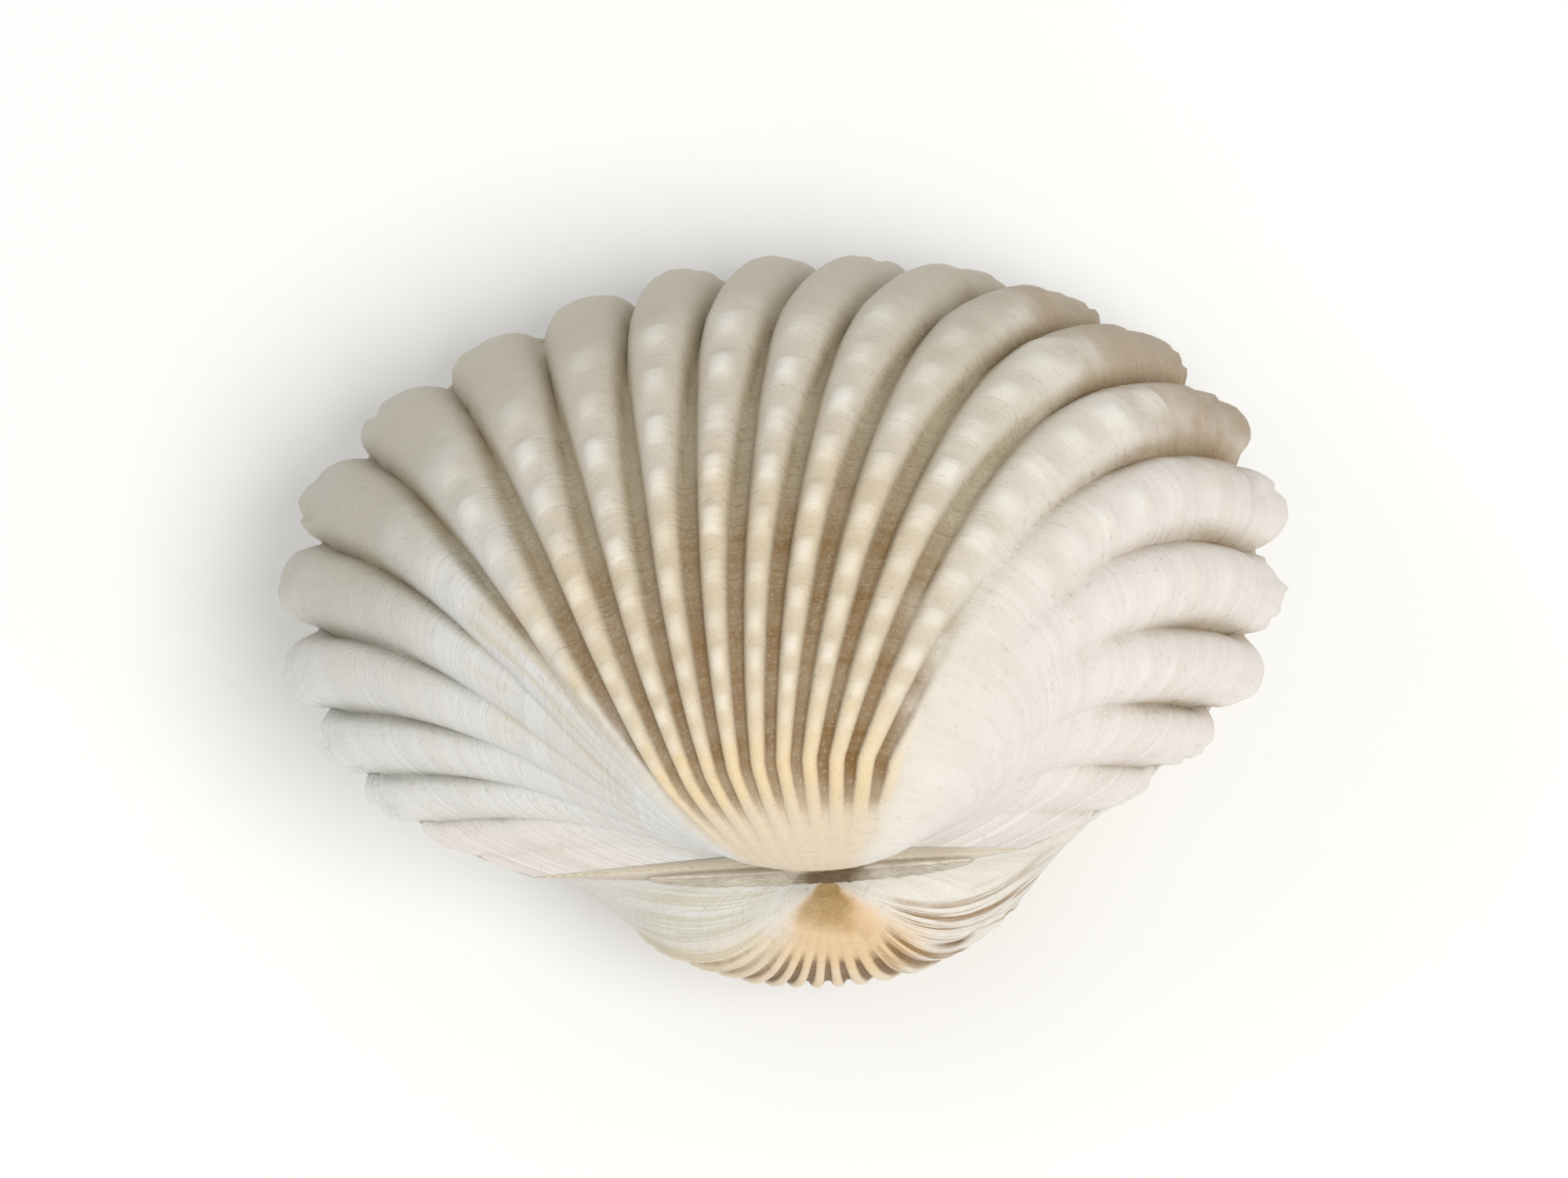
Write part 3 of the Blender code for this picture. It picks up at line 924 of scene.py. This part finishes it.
def new_finish(name, roughness, gloss):
    material = bpy.data.materials.new(name)
    material.use_nodes = True
    surface = material.node_tree.nodes["Principled BSDF"]
    surface.inputs["Roughness"].default_value = roughness
    surface.inputs["Specular IOR Level"].default_value = gloss
    return material, material.node_tree, surface


def bump(tree, height, surface):
    """Draws the finest relief on a finish."""
    made = tree.nodes.new("ShaderNodeBump")
    made.inputs["Distance"].default_value = GRAIN_DEPTH
    feed(tree, height, made.inputs["Height"])
    tree.links.new(made.outputs["Normal"], surface.inputs["Normal"])


def shell_finish(name, stains_and_shade, effects):
    """Chalky shell with its stains and painted shade, growth lines, pale worn beads with a painted
    highlight and painted shade between them, dirt in the grooves and smooth inside.
    """
    material, tree, surface = new_finish(name, 0.55, 0.35)
    place = object_place(tree)
    step, stage, inward, on_hinge, crest, groove, bead = (attribute(tree, title) for title in VALVE_MARKS)
    chalk = place_effect(tree, effects["chalk"], Place=place, Coarseness=1.0)
    growth = place_effect(tree, effects["growth"], Step=step, Stage=stage, Crowding=80.0, Waver=0.014)
    dirt = place_effect(tree, effects["dirt"], Place=place, Groove=groove, Amount=1.0)

    edge = (noise_field(tree, place, 330.0, detail=3.0) - 0.5) * 2.0
    ragged_step = step + edge * 0.05
    ragged_stage = stage + edge * 0.12
    colour = tint(tree, SHELL_WHITE, SHELL_CLOUD, smooth_step(0.35, 0.70, chalk["Cloud"]) * 0.5)
    streak_place = vector_of(tree, step * 110.0, stage * 4.0, 1.5)
    places = {
        "grooves": smooth_step(0.22, 0.82, groove),
        "crests": smooth_step(0.25, 0.80, crest),
        "streaks": smooth_step(0.42, 0.60, noise_field(tree, streak_place, 1.0)),
    }
    for overlay in stains_and_shade:
        share = overlay_share(overlay, ragged_step, ragged_stage, places)
        colour = tint(tree, colour, overlay.colour, share)
    # Painted shade in the gaps between the beads on the crests
    ribbed = hump(0.24, 0.40, 0.64, 0.76, step) * hump(0.26, 0.36, 0.66, 0.80, stage)
    bead_gap_shade = limit(crest * 1.4 - bead * 1.6, 0.0, 1.0) * ribbed
    colour = tint(tree, colour, BEAD_GAP_SHADE, bead_gap_shade * 0.55)
    # Pale bead tops: partly worn shell and partly a painted highlight
    colour = tint(tree, colour, BEAD_WEAR_AND_HIGHLIGHT, bead * 0.66)
    colour = tint(tree, colour, DIRT, dirt["Packed"] * hump(0.02, 0.12, 0.80, 0.95, step) * 0.30)
    colour = tint(tree, colour, SPECK, dirt["Specks"] * 0.35)
    colour = tint(tree, colour, GROWTH_SHADE, growth["Lines"] * 0.12 * smooth_step(0.06, 0.30, stage))
    colour = tint(tree, colour, GROWTH_SHADE, growth["Bands"] * 0.14)
    colour = tint(tree, colour, CHALK_DARK, chalk["Pits"] * 0.12)
    colour = tint(tree, colour, CHALK_LIGHT, smooth_step(0.50, 0.75, chalk["Grain"]) * 0.22)

    inner = smooth_step(0.30, 0.75, inward)
    teeth = abs((step * HINGE_TEETH).node("FRACT") - 0.5) * 2.0
    near_beak = (1.0 - smooth_step(0.04, 0.16, stage)) * hump(0.30, 0.40, 0.56, 0.66, step)
    hinge_colour = tint(tree, HINGE_PALE, HINGE_TAN, smooth_step(0.40, 0.75, chalk["Cloud"]) * 0.6)
    hinge_colour = tint(tree, hinge_colour, HINGE_BROWN, near_beak * 0.8)
    colour = tint(tree, colour, hinge_colour, on_hinge * (1.0 - inner))
    colour = tint(tree, colour, INNER_WHITE, inner)
    tree.links.new(colour.socket, surface.inputs["Base Color"])

    outer = 1.0 - inner
    rough = 0.50 + groove * 0.16 * outer + (chalk["Grain"] - 0.5) * 0.20 - inner * 0.14
    tree.links.new(rough.socket, surface.inputs["Roughness"])
    lines = growth["Lines"] * (0.18 + groove * 0.25) + growth["Bands"] * 0.3
    height = lines * outer * (1.0 - on_hinge) + (chalk["Grain"] * 0.5 - chalk["Pits"] * 0.25) * outer
    height = height + teeth * on_hinge * 0.5 + dirt["Specks"] * 0.2 * outer
    bump(tree, height, surface)
    return material


def ligament_finish(effects):
    """Dried horny strip: dark in the middle of its length, dusty and pale towards both ends."""
    material, tree, surface = new_finish("dried_ligament", 0.7, 0.3)
    place = object_place(tree)
    along = attribute(tree, "along")
    across = attribute(tree, "across")
    chalk = place_effect(tree, effects["chalk"], Place=place, Coarseness=1.3)
    dirt = place_effect(tree, effects["dirt"], Place=place, Groove=0.9, Amount=1.0)
    fibres = noise_field(tree, vector_of(tree, along * 9.0, across * 60.0, 0.0), 1.0, detail=3.0)
    ragged = along + (chalk["Cloud"] - 0.5) * 0.5
    colour = tint(tree, LIGAMENT_BROWN, LIGAMENT_DARK, smooth_step(0.35, 0.65, fibres))
    dusty = 1.0 - hump(-0.10, 0.08, 0.26, 0.44, ragged) * 0.95
    colour = tint(tree, colour, LIGAMENT_DUST, dusty)
    colour = tint(tree, colour, DIRT, dirt["Packed"] * 0.25)
    # Painted shade along both long edges, where the strip meets the valves in the groove between the beaks
    colour = tint(tree, colour, LIGAMENT_DARK, smooth_step(0.70, 0.95, abs(across)) * 0.15)
    tree.links.new(colour.socket, surface.inputs["Base Color"])
    rough = 0.62 + (chalk["Grain"] - 0.5) * 0.3
    tree.links.new(rough.socket, surface.inputs["Roughness"])
    bump(tree, fibres * 0.8 + chalk["Grain"] * 0.4, surface)
    return material


def floor_finish():
    material, tree, surface = new_finish("pale_floor", 0.85, 0.2)
    place = object_place(tree)
    mottle = noise_field(tree, place, 40.0, detail=3.0)
    colour = tint(tree, tone(250, 250, 249), tone(244, 244, 243), mottle)
    tree.links.new(colour.socket, surface.inputs["Base Color"])
    return material


def dress(piece, node):
    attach(piece, "root")
    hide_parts(node)


# Floor, lights and camera

FLOOR_HALF = 2.0
SKY_STRENGTH = 0.62
LIGHT_TARGET = Vector((0.0, 0.0, 0.008))

# A light: its name, place, width, power in watts and colour
STUDIO_LIGHTS = (
    ("key", (0.15, -0.15, 0.42), 0.26, 1.15, (1.0, 0.99, 0.96)),
    ("fill", (-0.40, 0.10, 0.30), 0.40, 0.3, (0.93, 0.96, 1.0)),
)

# The shell's length takes up SHELL_SHARE of the picture's width
CAMERA_ELEVATION = math.radians(78.3)
CAMERA_ROLL = math.radians(3.2)
CAMERA_LENS = 150.0
CAMERA_REACH = 10.0
SHELL_SHARE = 0.66


def lay_floor():
    shape = bmesh.new()
    bmesh.ops.create_grid(shape, x_segments=1, y_segments=1, size=FLOOR_HALF)
    mesh = bpy.data.meshes.new("floor")
    shape.to_mesh(mesh)
    shape.free()
    mesh.materials.append(floor_finish())
    floor = bpy.data.objects.new("floor", mesh)
    bpy.context.scene.collection.objects.link(floor)


def hang_light(name, place, size, watts, colour):
    light = bpy.data.lights.new(name, "AREA")
    light.shape = "DISK"
    light.size = size
    light.energy = watts
    light.color = colour
    holder = bpy.data.objects.new(name, light)
    bpy.context.scene.collection.objects.link(holder)
    holder.location = place
    holder.rotation_euler = (LIGHT_TARGET - Vector(place)).to_track_quat("-Z", "Y").to_euler()


def light_studio():
    world = bpy.data.worlds.new("studio")
    bpy.context.scene.world = world
    world.use_nodes = True
    sky = world.node_tree.nodes["Background"]
    sky.inputs["Color"].default_value = (1.0, 1.0, 1.0, 1.0)
    sky.inputs["Strength"].default_value = SKY_STRENGTH
    for light in STUDIO_LIGHTS:
        hang_light(*light)


def set_camera():
    """Looks down from the hinge side, with the picture turned a little, as in the photograph."""
    low, high = CAD_BOX
    target = (low + high) / 2
    back = Vector((0.0, -math.cos(CAMERA_ELEVATION), math.sin(CAMERA_ELEVATION)))
    right = Vector((1.0, 0.0, 0.0))
    up = back.cross(right)
    turned_right = right * math.cos(CAMERA_ROLL) - up * math.sin(CAMERA_ROLL)
    turned_up = up * math.cos(CAMERA_ROLL) + right * math.sin(CAMERA_ROLL)
    data = bpy.data.cameras.new("camera")
    data.lens = CAMERA_LENS
    frame_width = (high.x - low.x) / SHELL_SHARE
    distance = frame_width * CAMERA_LENS / data.sensor_width
    data.clip_start = distance * 0.05
    data.clip_end = CAMERA_REACH
    camera = bpy.data.objects.new("camera", data)
    bpy.context.scene.collection.objects.link(camera)
    pose = Matrix((turned_right, turned_up, back)).transposed().to_4x4()
    pose.translation = target + back * distance
    camera.matrix_world = pose
    bpy.context.scene.camera = camera


def main():
    bpy.context.scene.view_settings.view_transform = "Standard"
    effects = make_effects()
    white_shell = shell_finish("chalky_white_shell", LEFT_STAINS_AND_SHADE, effects)
    cream_shell = shell_finish("cream_orange_shell", RIGHT_STAINS_AND_SHADE, effects)
    tree = valve_tree()
    left = grow_piece("left_valve_shell", tree, {"Finish": white_shell})
    right = grow_piece("right_valve_shell", tree, {
        "Margin Scale": RIGHT_VALVE_SCALE,
        "Margin Ribs": 0.55,
        "Worn Beak": 0.10,
        "Worn Front": 0.24,
        "Rib Offset": RIB_SHIFT + 0.5,
        "Side": -1.0,
        "Finish": cream_shell,
    })
    strip = grow_piece("ligament_strip", ligament_tree(), {"Finish": ligament_finish(effects)})
    dress(left, "left_valve")
    dress(right, "right_valve")
    dress(strip, "ligament")
    lay_floor()
    light_studio()
    set_camera()


main()
